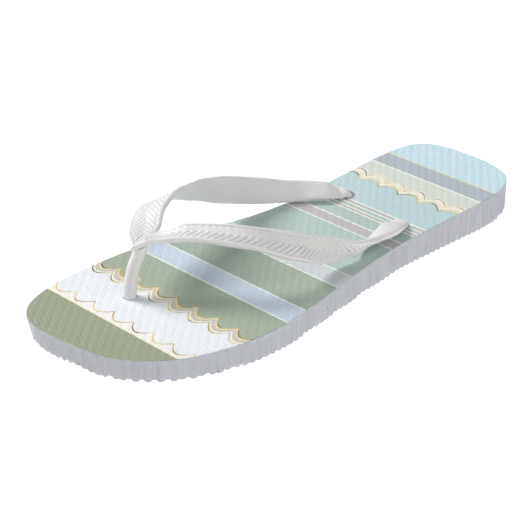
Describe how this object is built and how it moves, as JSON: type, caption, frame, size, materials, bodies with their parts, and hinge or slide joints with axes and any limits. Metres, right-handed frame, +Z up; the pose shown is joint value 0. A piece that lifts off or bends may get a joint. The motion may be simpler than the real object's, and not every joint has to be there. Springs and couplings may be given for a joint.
{
  "type": "flip flop",
  "caption": "Left flip flop: flat layered rubber sole with a striped print and a one-piece thong strap whose arms twist back to plugs under the sole.",
  "frame": {"origin": "centre of the bounding box's footprint, at the ground under the tread", "axes": "+Z up from the ground through the sole; -Y towards the toe and +Y towards the heel; -X towards the big-toe side of a left foot"},
  "size_m": [0.0956, 0.25, 0.0427],
  "materials": {
    "printed_rubber": "matt, embossed with fine grains, printed with pastel stripes and scalloped lines",
    "white_foam_rubber": "matt die-cut foam wall with fine upright scoring",
    "white_tread_rubber": "matt, grooved tread",
    "white_strap_rubber": "satin moulded rubber, ribbed panels between smooth rims"
  },
  "bodies": {
    "root": {"footbed": "printed_rubber", "midsole": "white_foam_rubber", "outsole": "white_tread_rubber", "strap": "white_strap_rubber"}
  },
  "joints": []
}
